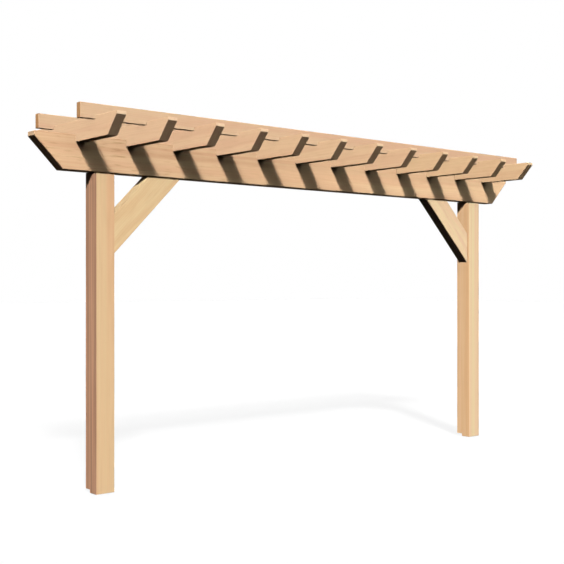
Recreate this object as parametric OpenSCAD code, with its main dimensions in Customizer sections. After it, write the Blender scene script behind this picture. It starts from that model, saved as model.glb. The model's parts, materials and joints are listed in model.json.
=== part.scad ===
// Wooden pergola: a beam on two posts with knee braces, rafters across the beam and purlins on the rafters.
// Millimetres, +Z up, +X along the beam. The origin lies on the foot of the left post.

/* [Posts] */
// Side of the square posts
post_side = 150; // [120:1:200]
// Distance between the centre lines of the posts
post_spacing = 4100; // [3200:10:5200]
// Height of the beam's underside above the ground
clear_height = 2290; // [1900:10:2800]
// Height of the rebate across the back of each foot
foot_rebate_height = 25; // [10:1:60]
// Depth of that rebate, from the back face of the post
foot_rebate_depth = 60; // [20:1:80]

/* [Beam] */
// Thickness of the beam, from front to back
beam_thickness = 100; // [80:1:120]
// Height of the beam
beam_height = 250; // [180:1:320]
// Length of the beam past the outer face of each post
beam_overhang = 460; // [360:5:700]
// Upright part of each beam end, above the slanted cut
beam_nose = 32; // [10:1:80]
// Length of the slanted cut, measured along the beam
beam_cut_run = 217; // [80:1:300]

/* [Braces] */
// Distance from the inner corner of post and beam to each end of a brace's long edge
brace_leg = 590; // [500:5:800]
// Depth of a brace, across its length
brace_depth = 220; // [140:1:260]
// Thickness of a brace, from front to back
brace_thickness = 100; // [70:1:120]

/* [Rafters] */
// Number of rafters
rafter_count = 12; // [6:1:16]
// Thickness of a rafter, along the beam
rafter_thickness = 75; // [50:1:90]
// Height of a rafter
rafter_height = 150; // [120:1:200]
// Length of a rafter, tip to tip
rafter_length = 1200; // [1000:10:1600]
// Distance from the beam's tip to the outer face of the first rafter
rafter_setback = 315; // [240:5:420]
// Depth of the notch that seats a rafter on the beam
rafter_notch = 50; // [20:1:70]
// Upright part of each rafter tip, above the slanted cut
tail_nose = 22; // [10:1:60]
// Length of the slanted cut, measured along the rafter
tail_cut_run = 117; // [60:1:180]

/* [Purlins] */
// Thickness of a purlin, from front to back
purlin_thickness = 50; // [38:1:75]
// Height of a purlin
purlin_height = 105; // [75:1:150]
// Length of a purlin past the outer face of the last rafter
purlin_overhang = 120; // [40:5:200]
// Distance from the rafter tips to the outer face of a purlin
purlin_setback = 270; // [180:5:400]
// Depth of the notches that seat a purlin on the rafters
purlin_notch = 25; // [10:1:40]

/* [Joinery] */
// Height of the rebate across the front of each post and brace head, under the beam
head_rebate_height = 12; // [6:1:30]
// Distance from the front of the beam to the back wall of that rebate
head_rebate_setback = 14; // [8:1:20]
// Length that every tenon enters its mortise
tenon_depth = 60; // [30:1:70]
// Thickness of every tenon, from front to back
tenon_thickness = 40; // [25:1:55]
// Distance from the edges of a post or brace end to its tenon
tenon_inset = 30; // [15:1:40]
// Clearance at each side of a tenon or a notched piece
joint_gap = 0.5; // [0.2:0.1:1]

/* [Hidden] */
wood = "#E2BB92";
rafter_wood = "#D9AE83";
// Cutters reach this far past the faces that they open
past = 5;

beam_length = post_spacing + post_side + 2 * beam_overhang;
beam_middle = post_spacing / 2;
beam_top = clear_height + beam_height;
tenon_top = clear_height + tenon_depth;

// A brace at 45 degrees is this long where it meets the post and the beam
brace_face = brace_depth * sqrt(2);
post_tenon_length = post_side - 2 * tenon_inset;
brace_tenon_length = brace_face - 2 * tenon_inset;
brace_foot = clear_height - brace_leg;
brace_head_middle = post_side / 2 + brace_leg - brace_face / 2;

rafter_bottom = beam_top - rafter_notch;
rafter_top = rafter_bottom + rafter_height;
rafter_row = beam_length - 2 * rafter_setback;
rafter_spacing = (rafter_row - rafter_thickness) / (rafter_count - 1);
purlin_bottom = rafter_top - purlin_notch;
purlin_length = rafter_row + 2 * purlin_overhang;
purlin_centre = rafter_length / 2 - purlin_setback - purlin_thickness / 2;

RAFTER_NODES = [for (place = [1 : rafter_count]) str("rafter_", place < 10 ? "0" : "", place)];

// Middle of a rafter along X, counted from the left
function rafter_x(place) = beam_middle + (place - (rafter_count + 1) / 2) * rafter_spacing;

// Outline of a bar that lies on its long edge: upright noses, then slanted cuts to a shorter underside
function nosed_bar(length, height, nose, run) = [
    [-length / 2, height],
    [-length / 2, height - nose],
    [-length / 2 + run, 0],
    [length / 2 - run, 0],
    [length / 2, height - nose],
    [length / 2, height]
];

// Block with its middle in X and Y at the origin and its underside at the given height
module block(length, depth, bottom, top) {
    translate([-length / 2, -depth / 2, bottom])
        cube([length, depth, top - bottom]);
}

// Prism of a front outline, with its middle in Y at the origin
module front_prism(thickness) {
    translate([0, thickness / 2, 0])
        rotate([90, 0, 0])
            linear_extrude(height = thickness)
                children();
}

// Prism of a side outline, with its middle in X at the origin
module side_prism(thickness) {
    translate([-thickness / 2, 0, 0])
        rotate([90, 0, 90])
            linear_extrude(height = thickness)
                children();
}

// Shapes below are drawn for the left post, with its centre line on the Z axis

// Rebate across the front of a post or brace head, which leaves a dark line under the beam
module head_rebate(head_length) {
    length = head_length + 2 * head_rebate_height + 2 * past;
    wall = head_rebate_setback - beam_thickness / 2;
    translate([-length / 2, wall - post_side, clear_height - head_rebate_height])
        cube([length, post_side, head_rebate_height + past]);
}

// Tenon of a post, or with room at its sides the mortise for it
module post_tenon(room) {
    block(post_tenon_length + 2 * room, tenon_thickness + 2 * room, clear_height - past, tenon_top);
}

// Tenon at the top of a brace, or the mortise for it
module brace_top_tenon(room) {
    translate([brace_head_middle, 0, 0])
        block(brace_tenon_length + 2 * room, tenon_thickness + 2 * room, clear_height - past, tenon_top);
}

// Tenon at the foot of a brace, or the mortise for it
module brace_foot_tenon(room) {
    translate([post_side / 2 - tenon_depth, -tenon_thickness / 2 - room, brace_foot + tenon_inset - room])
        cube([tenon_depth + past, tenon_thickness + 2 * room, brace_tenon_length + 2 * room]);
}

module post() {
    difference() {
        union() {
            block(post_side, post_side, 0, clear_height);
            post_tenon(0);
        }
        head_rebate(post_side);
        translate([0, post_side - foot_rebate_depth, 0])
            block(post_side + 2 * past, post_side, -past, foot_rebate_height);
        brace_foot_tenon(joint_gap);
    }
}

module brace() {
    post_face = post_side / 2;
    inner_leg = brace_leg - brace_face;
    difference() {
        union() {
            front_prism(brace_thickness)
                polygon([
                    [post_face, brace_foot],
                    [post_face + brace_leg, clear_height],
                    [post_face + inner_leg, clear_height],
                    [post_face, clear_height - inner_leg]
                ]);
            brace_top_tenon(0);
            brace_foot_tenon(0);
        }
        translate([brace_head_middle, 0, 0]) head_rebate(brace_face);
    }
}

// Repeats what belongs to the left post, mirrored, at the right post
module at_right_post() {
    translate([post_spacing, 0, 0])
        mirror([1, 0, 0])
            children();
}

module left_post() {
    color(wood) post();
}

module right_post() {
    color(wood) at_right_post() post();
}

module left_brace() {
    color(wood) brace();
}

module right_brace() {
    color(wood) at_right_post() brace();
}

module beam_mortises() {
    post_tenon(joint_gap);
    brace_top_tenon(joint_gap);
}

module main_beam() {
    color(wood)
        difference() {
            translate([beam_middle, 0, clear_height])
                front_prism(beam_thickness)
                    polygon(nosed_bar(beam_length, beam_height, beam_nose, beam_cut_run));
            beam_mortises();
            at_right_post() beam_mortises();
        }
}

module rafter(place) {
    color(rafter_wood)
        translate([rafter_x(place), 0, rafter_bottom])
            difference() {
                side_prism(rafter_thickness)
                    polygon(nosed_bar(rafter_length, rafter_height, tail_nose, tail_cut_run));
                block(rafter_thickness + 2 * past, beam_thickness + 2 * joint_gap, -past, rafter_notch);
            }
}

module purlin() {
    notch_length = rafter_thickness + 2 * joint_gap;
    difference() {
        translate([beam_middle, 0, 0])
            block(purlin_length, purlin_thickness, purlin_bottom, purlin_bottom + purlin_height);
        for (place = [1 : rafter_count])
            translate([rafter_x(place), 0, 0])
                block(notch_length, purlin_thickness + 2 * past, purlin_bottom - past, rafter_top);
    }
}

module front_purlin() {
    color(wood) translate([0, -purlin_centre, 0]) purlin();
}

module back_purlin() {
    color(wood) translate([0, purlin_centre, 0]) purlin();
}

left_post();
right_post();
main_beam();
left_brace();
right_brace();
for (place = [1 : rafter_count])
    rafter(place);
front_purlin();
back_purlin();
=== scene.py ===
"""Looks of a wooden pergola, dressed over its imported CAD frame.

Metres, +Z up, +X along the beam, origin on the foot of the left post.
"""

import json
import math

import bmesh
import bpy
import numpy as np
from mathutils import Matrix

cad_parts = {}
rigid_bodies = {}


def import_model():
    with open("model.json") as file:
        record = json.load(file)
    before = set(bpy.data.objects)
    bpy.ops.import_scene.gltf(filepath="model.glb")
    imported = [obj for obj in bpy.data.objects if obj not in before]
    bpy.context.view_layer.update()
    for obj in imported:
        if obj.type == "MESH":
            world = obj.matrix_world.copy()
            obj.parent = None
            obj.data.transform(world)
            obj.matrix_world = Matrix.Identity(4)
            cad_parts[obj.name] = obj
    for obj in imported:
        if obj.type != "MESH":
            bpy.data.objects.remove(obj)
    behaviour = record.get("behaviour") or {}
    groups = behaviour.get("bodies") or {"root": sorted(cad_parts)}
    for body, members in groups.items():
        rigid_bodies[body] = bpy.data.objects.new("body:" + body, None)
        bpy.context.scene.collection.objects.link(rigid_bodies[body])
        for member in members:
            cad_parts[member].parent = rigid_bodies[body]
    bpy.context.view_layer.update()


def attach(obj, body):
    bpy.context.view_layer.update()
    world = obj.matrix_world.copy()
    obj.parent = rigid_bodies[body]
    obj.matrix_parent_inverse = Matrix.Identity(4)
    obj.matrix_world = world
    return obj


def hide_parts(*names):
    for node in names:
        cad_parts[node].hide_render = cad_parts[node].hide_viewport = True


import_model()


# Posts
# Two square posts of sawn softwood, planed, arrises eased with a hand plane. A rebate crosses the back of
# each foot and a low one the front of each head. A stub tenon enters the beam, a mortise takes a brace.

POST_HALF = 0.075
POST_SPACING = 4.100
POST_TOP = 2.290
TENON_TOP = 2.350
POST_TENON_HALF = 0.045
TENON_HALF = 0.020
TENON_INSET = 0.030
JOINT_GAP = 0.0005
MORTISE_HALF = TENON_HALF + JOINT_GAP
MORTISE_DEPTH = 0.060
BRACE_FOOT = (1.7000, 1.9828)
FOOT_REBATE_TOP = 0.025
FOOT_REBATE_FACE = 0.015
HEAD_REBATE_FLOOR = 2.278
HEAD_REBATE_FACE = -0.036
POST_EASE = 0.004
RIGHT_SIDE = 1
LEFT_SIDE = 3

# Length between rows and of a square step, points on a corner, least eased width, column of a groove's depth
ROW_STEP = 0.12
SQUARE_STEP = 1e-6
ARC_POINTS = 5
LEAST_EASE = 0.0004
DEPTH_COLUMN = 5


def stations(marks, ease):
    """Rows along a timber and the eased width at each row, worked out from the timber's marks.

    A mark holds the place along the length, the low and high edge across in two directions, and the depth
    of a groove. Between marks every value runs straight, and two marks at one place make a square step. At
    both ends the edges draw in by ease * (1 - cos a) where the end is ease * (1 - sin a) away: a quarter
    round. The eased width shrinks by as much.
    """
    marks = np.array(marks, float)
    steps = np.maximum(np.abs(np.diff(marks[:, 0])), SQUARE_STEP)
    run = np.concatenate([[0.0], np.cumsum(steps)])
    rounding = ease * (1 - np.sin(np.linspace(0, np.pi / 2, ARC_POINTS)))
    even = np.linspace(0, run[-1], 2 + int(run[-1] / ROW_STEP))
    along = np.unique(np.concatenate([run, even, rounding, run[-1] - rounding]))
    rows = np.stack([np.interp(along, run, column) for column in marks.T], axis=1)
    short = np.maximum(ease - np.minimum(along, run[-1] - along), 0)
    drawn_in = ease - np.sqrt(np.maximum(ease**2 - short**2, 0))
    rows[:, [1, 3]] += drawn_in[:, None]
    rows[:, [2, 4]] -= drawn_in[:, None]
    return rows, np.maximum(ease - drawn_in, LEAST_EASE)


def section_corners(rows, axes):
    """Four corners of the section at every row.

    The length and the two directions across it lie on the three given axes, 0 for X, 1 for Y and 2 for Z.
    """
    first = rows[:, [1, 2, 2, 1]]
    second = rows[:, [3, 3, 4, 4]]
    corners = np.zeros((len(rows), 4, 3))
    corners[:, :, axes[0]] = rows[:, :1]
    corners[:, :, axes[1]] = first
    corners[:, :, axes[2]] = second
    return corners


def edge_directions(corners):
    """Unit direction from each corner of a section to the next one round it."""
    ahead = np.roll(corners, -1, axis=1) - corners
    return ahead / np.linalg.norm(ahead, axis=2, keepdims=True)


# Waves in the width that the plane took off: share of it and turn for each metre, then shift with X and Y
SLOW_WAVE = (0.18, 5.3)
QUICK_WAVE = (0.12, 14.1)
WAVE_SHIFT = (7.0, 3.0)


def planed_widths(corners, ease, grain):
    """Width that the plane took off each arris: the eased width, times 1 plus a slow and a quick wave.

    Both waves run along the grain, and their phase depends on where the timber lies.
    """
    place = corners.mean(axis=1)
    travel = place @ grain
    phase = WAVE_SHIFT[0] * place[:, 0] + WAVE_SHIFT[1] * place[:, 1]
    slow = SLOW_WAVE[0] * np.sin(SLOW_WAVE[1] * travel + phase)
    quick = QUICK_WAVE[0] * np.sin(QUICK_WAVE[1] * travel + 2 * phase)
    eased = np.broadcast_to(np.reshape(ease, (len(corners), -1)), corners.shape[:2])
    return eased * (1 + slow + quick)[:, None]


def rounded_corners(corners, widths):
    """Each corner P gives way to the arc P + r (1 - sin a) * back + r (1 - cos a) * ahead.

    Back and ahead are the directions of the two edges at the corner, r is the width that the plane took off
    there, and a goes from 0 to a right angle.
    """
    ahead = edge_directions(corners)
    back = -np.roll(ahead, 1, axis=1)
    angle = np.linspace(0, np.pi / 2, ARC_POINTS)[None, None, :, None]
    radius = widths[:, :, None, None]
    rounded = corners[:, :, None] + radius * (1 - np.sin(angle)) * back[:, :, None]
    rounded = rounded + radius * (1 - np.cos(angle)) * ahead[:, :, None]
    return rounded.reshape(len(corners), -1, 3)


def groove_points(corners, widths, side, half_width, depth):
    """Four points that open a groove in the middle of one side of each section: lip, floor, floor, lip.

    The floor lies as deep as the row says, and the lips stay between the eased arrises of that side.
    """
    start, end = corners[:, side], corners[:, (side + 1) % 4]
    middle = (start + end) / 2
    inward = (corners.sum(axis=1) - start - end) / 2 - middle
    inward /= np.linalg.norm(inward, axis=1, keepdims=True)
    room = np.linalg.norm(end - start, axis=1) / 2 - widths[:, side]
    half = np.minimum(half_width, room)[:, None] * edge_directions(corners)[:, side]
    floor = depth[:, None] * inward
    return np.stack([middle - half, middle - half + floor, middle + half + floor, middle + half], axis=1)


# Points this close are merged, and slivers this thin are taken out
MERGE_REACH = 1e-5
SLIVER = 1e-6


def closed_mesh(name, points):
    """Mesh of sections that follow each other along a timber, with a flat face across each end."""
    count, around = points.shape[:2]
    number = np.arange(count * around).reshape(count, around)
    onward = np.roll(number, -1, axis=1)
    sides = np.stack([number[:-1], onward[:-1], onward[1:], number[1:]], axis=2).reshape(-1, 4)
    ends = [number[0, ::-1].tolist(), number[-1].tolist()]
    mesh = bpy.data.meshes.new(name)
    mesh.from_pydata(points.reshape(-1, 3).tolist(), [], sides.tolist() + ends)
    work = bmesh.new()
    work.from_mesh(mesh)
    bmesh.ops.remove_doubles(work, verts=work.verts, dist=MERGE_REACH)
    bmesh.ops.dissolve_degenerate(work, edges=work.edges, dist=SLIVER)
    work.to_mesh(mesh)
    work.free()
    return mesh


def timber(name, corners, ease, grain, groove=None):
    """A squared timber: a surface of two parameters, the place along its length and round its section.

    Each face keeps how squarely it cuts the grain, as the cosine of the angle between its normal and the
    grain. A groove is given by its side, half its width and its depth at every row.
    """
    grain = np.array(grain) / np.linalg.norm(grain)
    widths = planed_widths(corners, ease, grain)
    points = rounded_corners(corners, widths)
    if groove is not None:
        place = ARC_POINTS * (groove[0] + 1)
        points = np.insert(points, [place] * 4, groove_points(corners, widths, *groove), axis=1)
    mesh = closed_mesh(name, points)
    normals = np.zeros(3 * len(mesh.polygons))
    mesh.polygons.foreach_get("normal", normals)
    squarely = np.abs(normals.reshape(-1, 3) @ grain).astype(np.float32)
    mesh.attributes.new("end_grain", "FLOAT", "FACE").data.foreach_set("value", squarely)
    piece = bpy.data.objects.new(name, mesh)
    bpy.context.scene.collection.objects.link(piece)
    return piece


def tone(code):
    """A colour written as on screen, such as #E6C196, in the linear values that shaders work with.

    Each part is a share of 255. Up to 0.04045 it is divided by 12.92, and above that it is shifted by 0.055,
    divided by 1.055 and raised to the power 2.4.
    """
    parts = np.array([int(code[i : i + 2], 16) for i in (1, 3, 5)]) / 255
    linear = np.where(parts <= 0.04045, parts / 12.92, ((parts + 0.055) / 1.055) ** 2.4)
    return (*linear.tolist(), 1.0)


class Wire:
    """A shader socket that can stand in a formula. Each operation adds its Math node to the node tree."""

    def __init__(self, tree, socket=None):
        self.tree = tree
        self.socket = socket

    def node(self, kind, settings=None, sockets=None, output=0):
        """Adds a node of a kind, sets it up, gives its sockets values or links, and returns an output."""
        added = self.tree.nodes.new(kind)
        for key, value in (settings or {}).items():
            setattr(added, key, value)
        for key, value in (sockets or {}).items():
            if isinstance(value, Wire):
                self.tree.links.new(value.socket, added.inputs[key])
            else:
                added.inputs[key].default_value = value
        return Wire(self.tree, added.outputs[output]) if added.outputs else None

    def maths(self, operation, first, second):
        """Adds a Math node for an operation on two numbers or links."""
        return self.node("ShaderNodeMath", {"operation": operation}, {0: first, 1: second})

    def __add__(self, other):
        return self.maths("ADD", self, other)

    def __radd__(self, other):
        return self.maths("ADD", other, self)

    def __sub__(self, other):
        return self.maths("SUBTRACT", self, other)

    def __rsub__(self, other):
        return self.maths("SUBTRACT", other, self)

    def __mul__(self, other):
        return self.maths("MULTIPLY", self, other)

    def __rmul__(self, other):
        return self.maths("MULTIPLY", other, self)

    def __pow__(self, other):
        return self.maths("POWER", self, other)

    def __rpow__(self, other):
        return self.maths("POWER", other, self)


def blend(first, second, share, kind="MIX"):
    """Colour that goes from the first to the second as the share goes from 0 to 1.

    Where the kind is MULTIPLY, it goes from the first to the first times the second.
    """
    settings = {"data_type": "RGBA", "clamp_factor": True, "blend_type": kind}
    # Sockets 6 and 7 and output 2 are the ones of this node that carry colours
    return share.node("ShaderNodeMix", settings, {0: share, 6: first, 7: second}, 2)


def ease_in(value, low, high):
    """0 below low, 1 above high, and a soft step between them."""
    settings = {"interpolation_type": "SMOOTHSTEP"}
    return value.node("ShaderNodeMapRange", settings, {"Value": value, "From Min": low, "From Max": high})


def coordinate(place, axis):
    """One coordinate of a place: 0 for X, 1 for Y and 2 for Z."""
    return place.node("ShaderNodeSeparateXYZ", {}, {0: place}, axis)


# Noise: patches a metre across the grain and along it, and the levels between which a patch sets in
BEND_PATCHES = (4.0, 0.55)
STRIPE_PATCHES = (38.0, 0.5)
FIBRE_PATCHES = (620.0, 14.0)
NOISE_ROUGHNESS = 0.55
STREAK_DETAIL = 4.0
BAND_LEVELS = (0.36, 0.64)
STREAK_LEVELS = (0.50, 0.80)

# Growth rings, the light and relief of fibres, and the finish of planed wood
RING_WIDTH = 0.0085
RING_BEND = 0.05
LATEWOOD_POWER = 3.0
LATEWOOD_SHARE = 0.06
STREAK_TONE = "#B07A4E"
FIBRE_LIGHT = 0.08
END_GRAIN_LEVELS = (0.80, 0.95)
FIBRE_RELIEF = 0.5
LATEWOOD_RELIEF = 0.3
STREAK_RELIEF = 0.2
RELIEF_STRENGTH = 0.35
RELIEF_DEPTH = 0.0012
WOOD_ROUGHNESS = 0.74
ROUGHNESS_CHANGE = 0.08
WOOD_SPECULAR = 0.02


def stretched_noise(board, patches, detail=2.0):
    """Noise drawn out along the grain: so many patches a metre across it, and so many along it."""
    across, along = patches
    drawn = board.node("ShaderNodeMapping", {}, {"Vector": board, "Scale": (across, across, along)})
    sockets = {"Vector": drawn, "Scale": 1.0, "Detail": detail, "Roughness": NOISE_ROUGHNESS}
    return board.node("ShaderNodeTexNoise", {}, sockets, "Fac")


def softwood(
    name,
    pith,
    turn,
    pale,
    warm,
    bands=(15.0, 0.9),
    streaks=(60.0, 8.0, 0.15),
    streaked=None,
    face=None,
    end_shade=(0.79, 0.72, 0.60),
):
    """Solid softwood, cut from a trunk whose pith runs through a given point along the turned Z axis.

    Growth rings are waves of the distance to the pith, bent by slow noise. Bands go from a pale to a warm
    tone, and brown streaks and fine fibres lie in the grain. Bands and streaks are given by their patches,
    and streaks also by their strength and, if wanted, the mask where they lie. A face is two other tones
    inside a mask: painted shade and painted light on the posts' left faces, and partly painted shade on the
    beam. Square end grain is shaded by a factor for red, green and blue; on the purlins it is partly painted
    shade.
    """
    material = bpy.data.materials.new(name)
    material.use_nodes = True
    tree = material.node_tree
    surface = tree.nodes["Principled BSDF"]
    start = Wire(tree)
    place = start.node("ShaderNodeTexCoord", output="Object")
    lie = {"Vector": place, "Location": pith, "Rotation": turn}
    board = start.node("ShaderNodeMapping", {"vector_type": "TEXTURE"}, lie)
    bend = stretched_noise(board, BEND_PATCHES)
    right, up = coordinate(board, 0), coordinate(board, 1)
    off_pith = (right * right + up * up) ** 0.5 + (bend - 0.5) * RING_BEND
    wave = start.node("ShaderNodeMath", {"operation": "SINE"}, {0: off_pith * (2 * math.pi / RING_WIDTH)})
    latewood = (wave * 0.5 + 0.5) ** LATEWOOD_POWER
    band = ease_in(stretched_noise(board, bands), *BAND_LEVELS)
    *streak_patches, streak_strength = streaks
    streak = ease_in(stretched_noise(board, streak_patches, STREAK_DETAIL), *STREAK_LEVELS)
    if streaked is not None:
        streak = streak * streaked(place)
    fibres = stretched_noise(board, FIBRE_PATCHES)
    colour = blend(tone(pale), tone(warm), band)
    if face is not None:
        painted_light_and_tone_pale, painted_light_and_tone_dark, painted_light_and_tone_mask = face
        stripes = ease_in(stretched_noise(board, STRIPE_PATCHES), *BAND_LEVELS)
        # Painted light and shade on the posts' left faces, and painted shade with real tone on the beam
        colour = blend(colour, blend(tone(painted_light_and_tone_pale), tone(painted_light_and_tone_dark), stripes), painted_light_and_tone_mask(place))
    colour = blend(colour, tone(STREAK_TONE), streak * streak_strength)
    colour = blend(colour, tone(STREAK_TONE), latewood * LATEWOOD_SHARE)
    grain_light = 1 - FIBRE_LIGHT / 2 + fibres * FIBRE_LIGHT
    colour = start.node("ShaderNodeVectorMath", {"operation": "SCALE"}, {0: colour, "Scale": grain_light})
    squarely = start.node("ShaderNodeAttribute", {"attribute_name": "end_grain"}, {}, "Fac")
    colour = blend(colour, (*end_shade, 1.0), ease_in(squarely, *END_GRAIN_LEVELS), "MULTIPLY")
    height = fibres * FIBRE_RELIEF + latewood * LATEWOOD_RELIEF + streak * STREAK_RELIEF
    relief_sockets = {"Strength": RELIEF_STRENGTH, "Distance": RELIEF_DEPTH, "Height": height}
    relief = start.node("ShaderNodeBump", {}, relief_sockets, "Normal")
    roughness = WOOD_ROUGHNESS - latewood * ROUGHNESS_CHANGE + fibres * ROUGHNESS_CHANGE
    tree.links.new(colour.socket, surface.inputs["Base Color"])
    tree.links.new(roughness.socket, surface.inputs["Roughness"])
    tree.links.new(relief.socket, surface.inputs["Normal"])
    surface.inputs["Specular IOR Level"].default_value = WOOD_SPECULAR
    return material


# Painted shade on the left post's left face and painted light on the right post's: this deep, and this soft
# at its edge
PAINTED_SIDE_DEPTH = 0.006
PAINTED_SIDE_FADE = 0.003
POST_BANDS = (11.0, 0.15)
POST_STREAKS = (90.0, 1.5, 0.12)
UPRIGHT = (0.0, 0.0, 0.0)


def left_side_light_and_shade(post_x):
    """Mask of a post's left face, whose tones are painted light and shade for that side."""

    def mask(place):
        return ease_in(post_x - POST_HALF + PAINTED_SIDE_DEPTH - coordinate(place, 0), 0.0, PAINTED_SIDE_FADE)

    return mask


mortise_low = BRACE_FOOT[0] + TENON_INSET - JOINT_GAP
mortise_high = BRACE_FOOT[1] - TENON_INSET + JOINT_GAP
post_steps = (
    # Height, front face, back face and depth of the mortise
    (0.0, -POST_HALF, FOOT_REBATE_FACE, 0.0),
    (FOOT_REBATE_TOP, -POST_HALF, FOOT_REBATE_FACE, 0.0),
    (FOOT_REBATE_TOP, -POST_HALF, POST_HALF, 0.0),
    (mortise_low, -POST_HALF, POST_HALF, 0.0),
    (mortise_low, -POST_HALF, POST_HALF, MORTISE_DEPTH),
    (mortise_high, -POST_HALF, POST_HALF, MORTISE_DEPTH),
    (mortise_high, -POST_HALF, POST_HALF, 0.0),
    (HEAD_REBATE_FLOOR, -POST_HALF, POST_HALF, 0.0),
    (HEAD_REBATE_FLOOR, HEAD_REBATE_FACE, POST_HALF, 0.0),
    (POST_TOP, HEAD_REBATE_FACE, POST_HALF, 0.0),
)
post_marks = [(z, -POST_HALF, POST_HALF, front, back, depth) for z, front, back, depth in post_steps]
for z in (POST_TOP, TENON_TOP):
    post_marks.append((z, -POST_TENON_HALF, POST_TENON_HALF, -TENON_HALF, TENON_HALF, 0.0))
post_rows, post_arris = stations(post_marks, POST_EASE)
# Each face entry is painted: darker tones as shade on the left post's left face, lighter warmer ones as light
# on the right post's
post_looks = {
    "left_post": softwood(
        "left_post_wood",
        pith=(0.03, 0.16, 0.0),
        turn=UPRIGHT,
        pale="#E9C598",
        warm="#E8B68C",
        bands=POST_BANDS,
        streaks=POST_STREAKS,
        face=("#D7A684", "#B4876C", left_side_light_and_shade(0.0)),
    ),
    "right_post": softwood(
        "right_post_wood",
        pith=(POST_SPACING - 0.11, -0.13, 0.3),
        turn=UPRIGHT,
        pale="#F1C9A4",
        warm="#F2D9AB",
        bands=POST_BANDS,
        streaks=POST_STREAKS,
        face=("#FFD3A3", "#FAC895", left_side_light_and_shade(POST_SPACING)),
    ),
}
for node, post_x, inner_side in (("left_post", 0.0, RIGHT_SIDE), ("right_post", POST_SPACING, LEFT_SIDE)):
    post_corners = section_corners(post_rows, (2, 0, 1))
    post_corners[:, :, 0] += post_x
    groove = (inner_side, MORTISE_HALF, post_rows[:, DEPTH_COLUMN])
    piece = timber(node + "_timber", post_corners, post_arris, (0, 0, 1), groove)
    piece.data.materials.append(post_looks[node])
    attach(piece, "root")
    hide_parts(node)


# Braces
# Two wide knee braces of the same softwood, sawn at 45 degrees. Stub tenons hold each one in the post and in
# the beam, and the rebate across the front of its head leaves the same dark line under the beam as a post's.

BRACE_HALF = 0.050
BRACE_HEAD = (0.3822, 0.6650)
BRACE_ROWS = 8

# Eased width of the arrises, share of it that the upper front one has, and eased width of the tenons
BRACE_EASE = 0.0035
BRACE_UPPER_SHARE = 0.25
TENON_EASE = 0.001

foot_low, foot_high = BRACE_FOOT
head_near, head_far = BRACE_HEAD
foot_reach = POST_HALF - MORTISE_DEPTH
foot_tenon = (foot_low + TENON_INSET, foot_high - TENON_INSET)
head_tenon = (head_near + TENON_INSET, head_far - TENON_INSET)
rebate_drop = POST_TOP - HEAD_REBATE_FLOOR
rebate_near, rebate_far = head_near - rebate_drop, head_far - rebate_drop
brace_lines = np.array([
    # Lower edge x, z, then upper edge x, z, then front, back and eased width
    (foot_reach, foot_tenon[0], foot_reach, foot_tenon[1], -TENON_HALF, TENON_HALF, TENON_EASE),
    (POST_HALF, foot_tenon[0], POST_HALF, foot_tenon[1], -TENON_HALF, TENON_HALF, TENON_EASE),
    (POST_HALF, foot_low, POST_HALF, foot_high, -BRACE_HALF, BRACE_HALF, BRACE_EASE),
    (rebate_far, HEAD_REBATE_FLOOR, rebate_near, HEAD_REBATE_FLOOR, -BRACE_HALF, BRACE_HALF, BRACE_EASE),
    (rebate_far, HEAD_REBATE_FLOOR, rebate_near, HEAD_REBATE_FLOOR, HEAD_REBATE_FACE, BRACE_HALF, TENON_EASE),
    (head_far, POST_TOP, head_near, POST_TOP, HEAD_REBATE_FACE, BRACE_HALF, TENON_EASE),
    (head_tenon[1], POST_TOP, head_tenon[0], POST_TOP, -TENON_HALF, TENON_HALF, TENON_EASE),
    (head_tenon[1], TENON_TOP, head_tenon[0], TENON_TOP, -TENON_HALF, TENON_HALF, TENON_EASE),
])
# One row on each line, and more between the foot and the rebate of the head
line_numbers = np.concatenate([[0, 1], np.linspace(2, 3, BRACE_ROWS), [4, 5, 6, 7]])
every_line = np.arange(len(brace_lines))
brace_rows = np.stack([np.interp(line_numbers, every_line, column) for column in brace_lines.T], axis=1)
low_x, low_z, high_x, high_z, front_y, back_y, brace_arris = brace_rows.T
brace_corners = np.stack([
    np.stack([low_x, front_y, low_z], axis=1),
    np.stack([low_x, back_y, low_z], axis=1),
    np.stack([high_x, back_y, high_z], axis=1),
    np.stack([high_x, front_y, high_z], axis=1),
], axis=1)
brace_eases = brace_arris[:, None] * np.array([1.0, 1.0, 1.0, BRACE_UPPER_SHARE])
mirrored_corners = brace_corners[:, ::-1] * (-1, 1, 1) + (POST_SPACING, 0, 0)
mirrored_eases = brace_eases[:, ::-1]
for node, corners, eases, lean, pith_x, pale, warm in (
    ("left_brace", brace_corners, brace_eases, 1, 0.45, "#EDCD9E", "#E9C394"),
    ("right_brace", mirrored_corners, mirrored_eases, -1, POST_SPACING - 0.22, "#F6D8AC", "#F3CDA6"),
):
    piece = timber(node + "_timber", corners, eases, (lean, 0, 1))
    brace_wood = softwood(
        node + "_wood",
        pith=(pith_x, 0.19, 2.05),
        turn=(0.0, lean * math.pi / 4, 0.0),
        pale=pale,
        warm=warm,
        bands=(16.0, 2.0),
        streaks=(60.0, 8.0, 0.10),
    )
    piece.data.materials.append(brace_wood)
    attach(piece, "root")
    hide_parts(node)


# Main beam
# One deep beam of softwood along both posts, its ends sawn to a slanted nose. Four mortises in its underside
# take the tenons of the posts and braces, and it rests on their heads.

BEAM_HALF = 0.050
BEAM_BOTTOM = POST_TOP
BEAM_TOP = 2.540
BEAM_ENDS = (-0.535, 4.635)
BEAM_NOSE = 0.032
BEAM_CUT_RUN = 0.217
BEAM_EASE = 0.0025
BEAM_LOWER_EASE = 0.007
BEAM_UPPER_EASE = 0.001
UNDERSIDE = 0
ALONG_BEAM = (0.0, math.pi / 2, 0.0)

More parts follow.
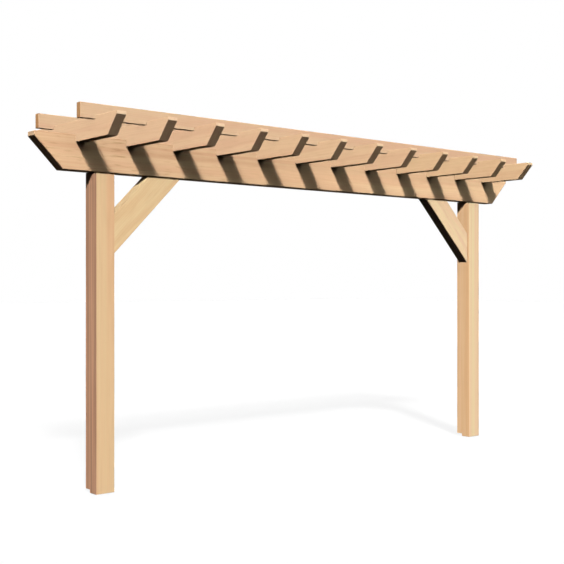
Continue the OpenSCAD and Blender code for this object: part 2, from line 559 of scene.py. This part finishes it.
# Where a darker tone sets in above and below the brightest height, and its share: painted shade towards the
# top edge, darker towards the bottom
BRIGHTEST_HEIGHT = 2.385
EDGE_SHADE_FROM = 0.02
EDGE_SHADE_TO = 0.09
EDGE_SHADE_SHARE = 0.5

# Places along X to which the butt's tone and its streaks reach, the lengths they fade over, and their shares
BUTT_MARK = 2.6
BUTT_FADE = 1.6
BUTT_SHARE = 0.7
STREAK_MARK = 1.6
STREAK_FADE = 1.4
STREAK_SHARE = 0.8
STREAK_LEAST = 0.15


def nosed_marks(low_end, high_end, bottom, top, nose, run, half, inner):
    """Marks of a bar with slanted ends: an upright nose, a straight cut to the underside, and inner marks."""
    return [
        (low_end, -half, half, top - nose, top, 0.0),
        (low_end + run, -half, half, bottom, top, 0.0),
        *inner,
        (high_end - run, -half, half, bottom, top, 0.0),
        (high_end, -half, half, top - nose, top, 0.0),
    ]


def mortise_marks(low, high):
    """Marks of one mortise in the underside of the beam: two square steps into it and out of it."""
    low, high = low - JOINT_GAP, high + JOINT_GAP
    places = ((low, 0.0), (low, MORTISE_DEPTH), (high, MORTISE_DEPTH), (high, 0.0))
    return [(x, -BEAM_HALF, BEAM_HALF, BEAM_BOTTOM, BEAM_TOP, depth) for x, depth in places]


def fading_left(place, mark, fade):
    """Mask of the beam's left part: it fades away over a length that ends at a mark along X."""
    return ease_in(mark - coordinate(place, 0), 0.0, fade)


def streaked_wood(place):
    """Mask of the streaks, which lie closest at the left end, the butt of the trunk."""
    return fading_left(place, STREAK_MARK, STREAK_FADE) * STREAK_SHARE + STREAK_LEAST


def edge_shade_and_butt(place):
    """Painted shade towards the beam's top edge, a darker tone towards its bottom edge, and the butt's tone.
    """
    above_brightest = coordinate(place, 2) - BRIGHTEST_HEIGHT
    off_brightest = place.node("ShaderNodeMath", {"operation": "ABSOLUTE"}, {0: above_brightest})
    towards_edges = ease_in(off_brightest, EDGE_SHADE_FROM, EDGE_SHADE_TO) * EDGE_SHADE_SHARE
    return towards_edges + fading_left(place, BUTT_MARK, BUTT_FADE) * BUTT_SHARE


beam_mortises = [
    *mortise_marks(-POST_TENON_HALF, POST_TENON_HALF),
    *mortise_marks(*head_tenon),
    *mortise_marks(POST_SPACING - head_tenon[1], POST_SPACING - head_tenon[0]),
    *mortise_marks(POST_SPACING - POST_TENON_HALF, POST_SPACING + POST_TENON_HALF),
]
beam_marks = nosed_marks(
    *BEAM_ENDS, BEAM_BOTTOM, BEAM_TOP, BEAM_NOSE, BEAM_CUT_RUN, BEAM_HALF, beam_mortises
)
beam_rows, beam_arris = stations(beam_marks, BEAM_EASE)
beam_eases = np.array([BEAM_LOWER_EASE, BEAM_EASE, BEAM_EASE, BEAM_UPPER_EASE])
piece = timber(
    "main_beam_timber",
    section_corners(beam_rows, (0, 1, 2)),
    beam_arris[:, None] * beam_eases / BEAM_EASE,
    (1, 0, 0),
    (UNDERSIDE, MORTISE_HALF, beam_rows[:, DEPTH_COLUMN]),
)
beam_wood = softwood(
    "main_beam_wood",
    pith=(0.9, 0.12, 2.44),
    turn=ALONG_BEAM,
    pale="#F8D1A5",
    warm="#F3C59B",
    bands=(9.0, 0.8),
    streaks=(58.0, 7.0, 0.60),
    streaked=streaked_wood,
    # Face tones: painted shade under the rafters near the top edge, darker near the bottom, and the butt's
    # tone at the left end
    face=("#E5BD94", "#E0B18B", edge_shade_and_butt),
    end_shade=(0.86, 0.96, 1.01),
)
piece.data.materials.append(beam_wood)
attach(piece, "root")
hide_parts("main_beam")


# Rafters
# Twelve slim rafters of softwood lie across the beam, each notched down over it by a third of its height.
# Both tails are sawn to a slanted nose. They come from several trunks, so grain and tone differ a little.

RAFTER_COUNT = 12
RAFTER_SETBACK = 0.315
RAFTER_HALF = 0.0375
RAFTER_BOTTOM = 2.490
RAFTER_TOP = 2.640
RAFTER_REACH = 0.600
RAFTER_NOTCH_HALF = BEAM_HALF + JOINT_GAP
TAIL_NOSE = 0.022
TAIL_CUT_RUN = 0.117
RAFTER_EASE = 0.002
ALONG_RAFTER = (-math.pi / 2, 0.0, 0.0)

# Trunks: the pith lies between two places, X from the middle of the rafter, and tones go from left to right
TRUNK_SEED = 12
LOWEST_PITH = (0.05, -0.6, 2.50)
HIGHEST_PITH = (0.16, 0.6, 2.62)
RAFTER_TONES = (("#EBC39C", "#E7BB96"), ("#EAC39A", "#E6BB94"), ("#E9C397", "#E5BB91"))

notch_places = (
    (-RAFTER_NOTCH_HALF, RAFTER_BOTTOM),
    (-RAFTER_NOTCH_HALF, BEAM_TOP),
    (RAFTER_NOTCH_HALF, BEAM_TOP),
    (RAFTER_NOTCH_HALF, RAFTER_BOTTOM),
)
rafter_notch = [(y, -RAFTER_HALF, RAFTER_HALF, z, RAFTER_TOP, 0.0) for y, z in notch_places]
rafter_marks = nosed_marks(
    -RAFTER_REACH, RAFTER_REACH, RAFTER_BOTTOM, RAFTER_TOP, TAIL_NOSE, TAIL_CUT_RUN, RAFTER_HALF, rafter_notch
)
rafter_rows, rafter_arris = stations(rafter_marks, RAFTER_EASE)
first_rafter = BEAM_ENDS[0] + RAFTER_SETBACK + RAFTER_HALF
last_rafter = BEAM_ENDS[1] - RAFTER_SETBACK - RAFTER_HALF
rafter_xs = np.linspace(first_rafter, last_rafter, RAFTER_COUNT)
trunks = np.random.default_rng(TRUNK_SEED)
for number, rafter_x in enumerate(rafter_xs):
    node = f"rafter_{number + 1:02d}"
    rafter_corners = section_corners(rafter_rows, (1, 0, 2))[:, ::-1]
    rafter_corners[:, :, 0] += rafter_x
    piece = timber(node + "_timber", rafter_corners, rafter_arris, (0, 1, 0))
    pale, warm = RAFTER_TONES[number * len(RAFTER_TONES) // RAFTER_COUNT]
    rafter_wood = softwood(
        node + "_wood",
        pith=trunks.uniform(LOWEST_PITH, HIGHEST_PITH) + (rafter_x, 0.0, 0.0),
        turn=ALONG_RAFTER,
        pale=pale,
        warm=warm,
        end_shade=(1.03, 1.11, 1.18),
    )
    piece.data.materials.append(rafter_wood)
    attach(piece, "root")
    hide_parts(node)


# Purlins
# Two slim purlins of softwood tie the rafters together. Each is notched over every rafter, so that it sits
# down on them by a finger's width, and its square ends stand a little past the outer rafters.

PURLIN_HALF = 0.025
PURLIN_BOTTOM = 2.615
PURLIN_TOP = 2.720
PURLIN_CENTRE = 0.305
PURLIN_OVERHANG = 0.120
PURLIN_EASE = 0.0025
PURLIN_LOWER_EASE = 0.0006

purlin_reach = RAFTER_HALF + PURLIN_OVERHANG
seat_half = RAFTER_HALF + JOINT_GAP
seat_xs = (rafter_xs[:, None] + np.array([-1, -1, 1, 1]) * seat_half).ravel()
seat_zs = np.tile([PURLIN_BOTTOM, RAFTER_TOP, RAFTER_TOP, PURLIN_BOTTOM], RAFTER_COUNT)
purlin_xs = np.concatenate([[rafter_xs[0] - purlin_reach], seat_xs, [rafter_xs[-1] + purlin_reach]])
purlin_zs = np.concatenate([[PURLIN_BOTTOM], seat_zs, [PURLIN_BOTTOM]])
purlin_eases = np.array([PURLIN_LOWER_EASE, PURLIN_EASE, PURLIN_EASE, PURLIN_EASE])
for node, purlin_y, pith in (
    ("front_purlin", -PURLIN_CENTRE, (1.1, -0.21, 2.60)),
    ("back_purlin", PURLIN_CENTRE, (2.7, 0.42, 2.73)),
):
    front_y, back_y = purlin_y - PURLIN_HALF, purlin_y + PURLIN_HALF
    purlin_marks = [(x, front_y, back_y, z, PURLIN_TOP, 0.0) for x, z in zip(purlin_xs, purlin_zs)]
    purlin_rows, purlin_arris = stations(purlin_marks, PURLIN_EASE)
    purlin_arris = purlin_arris[:, None] * purlin_eases / PURLIN_EASE
    piece = timber(node + "_timber", section_corners(purlin_rows, (0, 1, 2)), purlin_arris, (1, 0, 0))
    purlin_wood = softwood(
        node + "_wood",
        pith=pith,
        turn=ALONG_BEAM,
        pale="#DDB894",
        warm="#DBB08F",
        # Darker than end grain's own tone: partly painted shade, standing in for shade on the purlins' left
        # ends
        end_shade=(0.68, 0.57, 0.41),
    )
    piece.data.materials.append(purlin_wood)
    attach(piece, "root")
    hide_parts(node)


# Floor
# A wide matt sheet of pale paper, as in a studio. The camera sees it nearly white with the pergola's shadow
# on it, and it throws no light back up, so the undersides stay as dark as the real ones.

FLOOR_REACH = 60.0
SHADOW_SHARE = 0.12
PALE_PAPER = (0.95, 0.95, 0.95, 1.0)
DARK_PAPER = (0.02, 0.02, 0.02, 1.0)
WHITE = (1.0, 1.0, 1.0, 1.0)

floor_edges = np.array([-FLOOR_REACH, FLOOR_REACH])
floor_y, floor_x = np.meshgrid(floor_edges, floor_edges, indexing="ij")
floor_points = np.stack([floor_x, floor_y, np.zeros_like(floor_x)], axis=2).reshape(-1, 3)
floor_mesh = bpy.data.meshes.new("floor")
floor_mesh.from_pydata(floor_points.tolist(), [], [(0, 1, 3, 2)])
floor = bpy.data.objects.new("floor", floor_mesh)
bpy.context.scene.collection.objects.link(floor)


def seen_directly(wire):
    """1 where the camera looks, straight or by way of gloss or glass, and 0 where light only bounces."""
    kinds = ("Is Camera Ray", "Is Glossy Ray", "Is Transmission Ray")
    rays = [wire.node("ShaderNodeLightPath", {}, {}, kind) for kind in kinds]
    return wire.maths("MINIMUM", rays[0] + rays[1] + rays[2], 1.0)


paper = bpy.data.materials.new("pale_paper")
paper.use_nodes = True
paper.node_tree.nodes.clear()
sheet = Wire(paper.node_tree)
lit = sheet.node("ShaderNodeBsdfDiffuse", {}, {"Color": PALE_PAPER})
glow = sheet.node("ShaderNodeEmission", {}, {"Color": WHITE, "Strength": 1.0})
shown = sheet.node("ShaderNodeMixShader", {}, {0: SHADOW_SHARE, 1: glow, 2: lit})
unlit = sheet.node("ShaderNodeBsdfDiffuse", {}, {"Color": DARK_PAPER})
paper_look = sheet.node("ShaderNodeMixShader", {}, {0: seen_directly(sheet), 1: unlit, 2: shown})
sheet.node("ShaderNodeOutputMaterial", {}, {"Surface": paper_look})
floor_mesh.materials.append(paper)


# Light
# A key lamp with a soft halo from the front left, a left lamp, steeper on the beam so that its slanted end
# stays dark, a cool fill from the front right and a lamp from behind. In the photograph rafters shade the
# beam alone, so posts and braces have key lamps of their own.

KEY_TRAVEL = (0.614, 1.13, -1.05)
KEY_LEVEL = 1.09
KEY_SPREAD = 6.0
HALO_LEVEL = 0.17
HALO_SPREAD = 44.0
POST_TRAVEL = (1.0, 1.13, -1.02)
POST_LEVEL = 1.30
BRACE_TRAVEL = (0.66, 1.07, -1.0)
BRACE_LEVEL = 1.22
BRACE_SPREAD = 2.0
FLOOR_LEVEL = 1.55
LEFT_TRAVEL = (0.60, 0.08, -0.42)
LEFT_LEVEL = 0.555
STEEP_LEFT_TRAVEL = (0.60, 0.08, -0.80)
STEEP_LEFT_LEVEL = 0.75
LEFT_SPREAD = 12.0
FILL_TRAVEL = (-0.3, 0.9, -0.7)
FILL_LEVEL = 0.17
FILL_SPREAD = 40.0
FILL_TINT = (0.85, 1.0, 0.97)
BACK_TRAVEL = (-0.75, -0.85, -0.20)
BACK_LEVEL = 0.70
BACK_SPREAD = 60.0
SKY_LEVEL = 0.08
HORIZON_BLUR = 0.02


def group(name, *kinds):
    """The timbers whose names hold one of the given words, as a group for lamps to light or be shaded by."""
    gathered = bpy.data.collections.new(name)
    for piece in bpy.data.objects:
        if piece.name.endswith("_timber") and any(kind in piece.name for kind in kinds):
            gathered.objects.link(piece)
    return gathered


def lamp(name, travel, level, spread, lit=None, shading=None):
    """A far lamp whose light travels one way. At level 1, white paper that faces it renders just white."""
    data = bpy.data.lights.new(name, "SUN")
    data.energy = level * math.pi
    data.angle = math.radians(spread)
    light = bpy.data.objects.new(name, data)
    x, y, z = travel
    light.rotation_euler = (math.atan2(math.hypot(x, y), -z), 0.0, math.atan2(y, x) - math.pi / 2)
    light.light_linking.receiver_collection = lit
    light.light_linking.blocker_collection = shading
    bpy.context.scene.collection.objects.link(light)
    return data


posts = group("posts", "post")
braces = group("braces", "brace")
top = group("top", "beam", "rafter", "purlin")
beam_alone = group("beam_alone", "beam")
rafters_and_purlins = group("rafters_and_purlins", "rafter", "purlin")
all_but_purlins = group("all_but_purlins", "post", "brace", "beam", "rafter")
timbers = group("timbers", "_timber")
ground = bpy.data.collections.new("ground")
ground.objects.link(floor)
lamp("key_on_posts", POST_TRAVEL, POST_LEVEL, KEY_SPREAD, posts, beam_alone)
lamp("key_on_braces", BRACE_TRAVEL, BRACE_LEVEL, BRACE_SPREAD, braces, beam_alone)
lamp("key_on_top", KEY_TRAVEL, KEY_LEVEL, KEY_SPREAD, top, all_but_purlins)
lamp("halo_on_top", KEY_TRAVEL, HALO_LEVEL, HALO_SPREAD, top, all_but_purlins)
lamp("left_on_rafters", LEFT_TRAVEL, LEFT_LEVEL, LEFT_SPREAD, rafters_and_purlins, all_but_purlins)
lamp("left_on_beam", STEEP_LEFT_TRAVEL, STEEP_LEFT_LEVEL, LEFT_SPREAD, beam_alone, all_but_purlins)
fill = lamp("front_fill", FILL_TRAVEL, FILL_LEVEL, FILL_SPREAD, timbers, all_but_purlins)
fill.color = FILL_TINT
lamp("back_lamp", BACK_TRAVEL, BACK_LEVEL, BACK_SPREAD)
lamp("key_on_floor", KEY_TRAVEL, FLOOR_LEVEL, KEY_SPREAD, ground)

sky = bpy.data.worlds.new("studio")
sky.use_nodes = True
sky.node_tree.nodes.clear()
air = Wire(sky.node_tree)
direction = air.node("ShaderNodeTexCoord", output="Generated")
above_horizon = ease_in(coordinate(direction, 2), -HORIZON_BLUR, HORIZON_BLUR)
dome = air.node("ShaderNodeBackground", {}, {"Strength": above_horizon * SKY_LEVEL})
backdrop = air.node("ShaderNodeBackground", {}, {"Color": WHITE, "Strength": 1.0})
sky_look = air.node("ShaderNodeMixShader", {}, {0: seen_directly(air), 1: dome, 2: backdrop})
air.node("ShaderNodeOutputWorld", {}, {"Surface": sky_look})
bpy.context.scene.world = sky
bpy.context.scene.view_settings.view_transform = "Standard"
# Light tree off: with it, lamps that are linked to groups render a little differently from run to run
bpy.context.scene.cycles.use_light_tree = False
# No bounces: undersides get the lamps' own light alone and stay as dark as in the photograph
bpy.context.scene.cycles.diffuse_bounces = 0


# Camera
# Placed where the corners in the photograph put it: at eye height, to the left of the front, and level. Its
# focal length, in pixels of the photograph, was fitted to the same corners.

CAMERA_PLACE = (-3.6155, -6.3173, 1.5076)
CAMERA_TURN = 40.126
SENSOR = 36.0
FOCAL_PIXELS = 997.06
IMAGE_PIXELS = 564

lens = bpy.data.cameras.new("camera")
lens.sensor_width = SENSOR
lens.lens = SENSOR * FOCAL_PIXELS / IMAGE_PIXELS
camera = bpy.data.objects.new("camera", lens)
camera.location = CAMERA_PLACE
camera.rotation_euler = (math.pi / 2, 0.0, -math.radians(CAMERA_TURN))
bpy.context.scene.collection.objects.link(camera)
bpy.context.scene.camera = camera
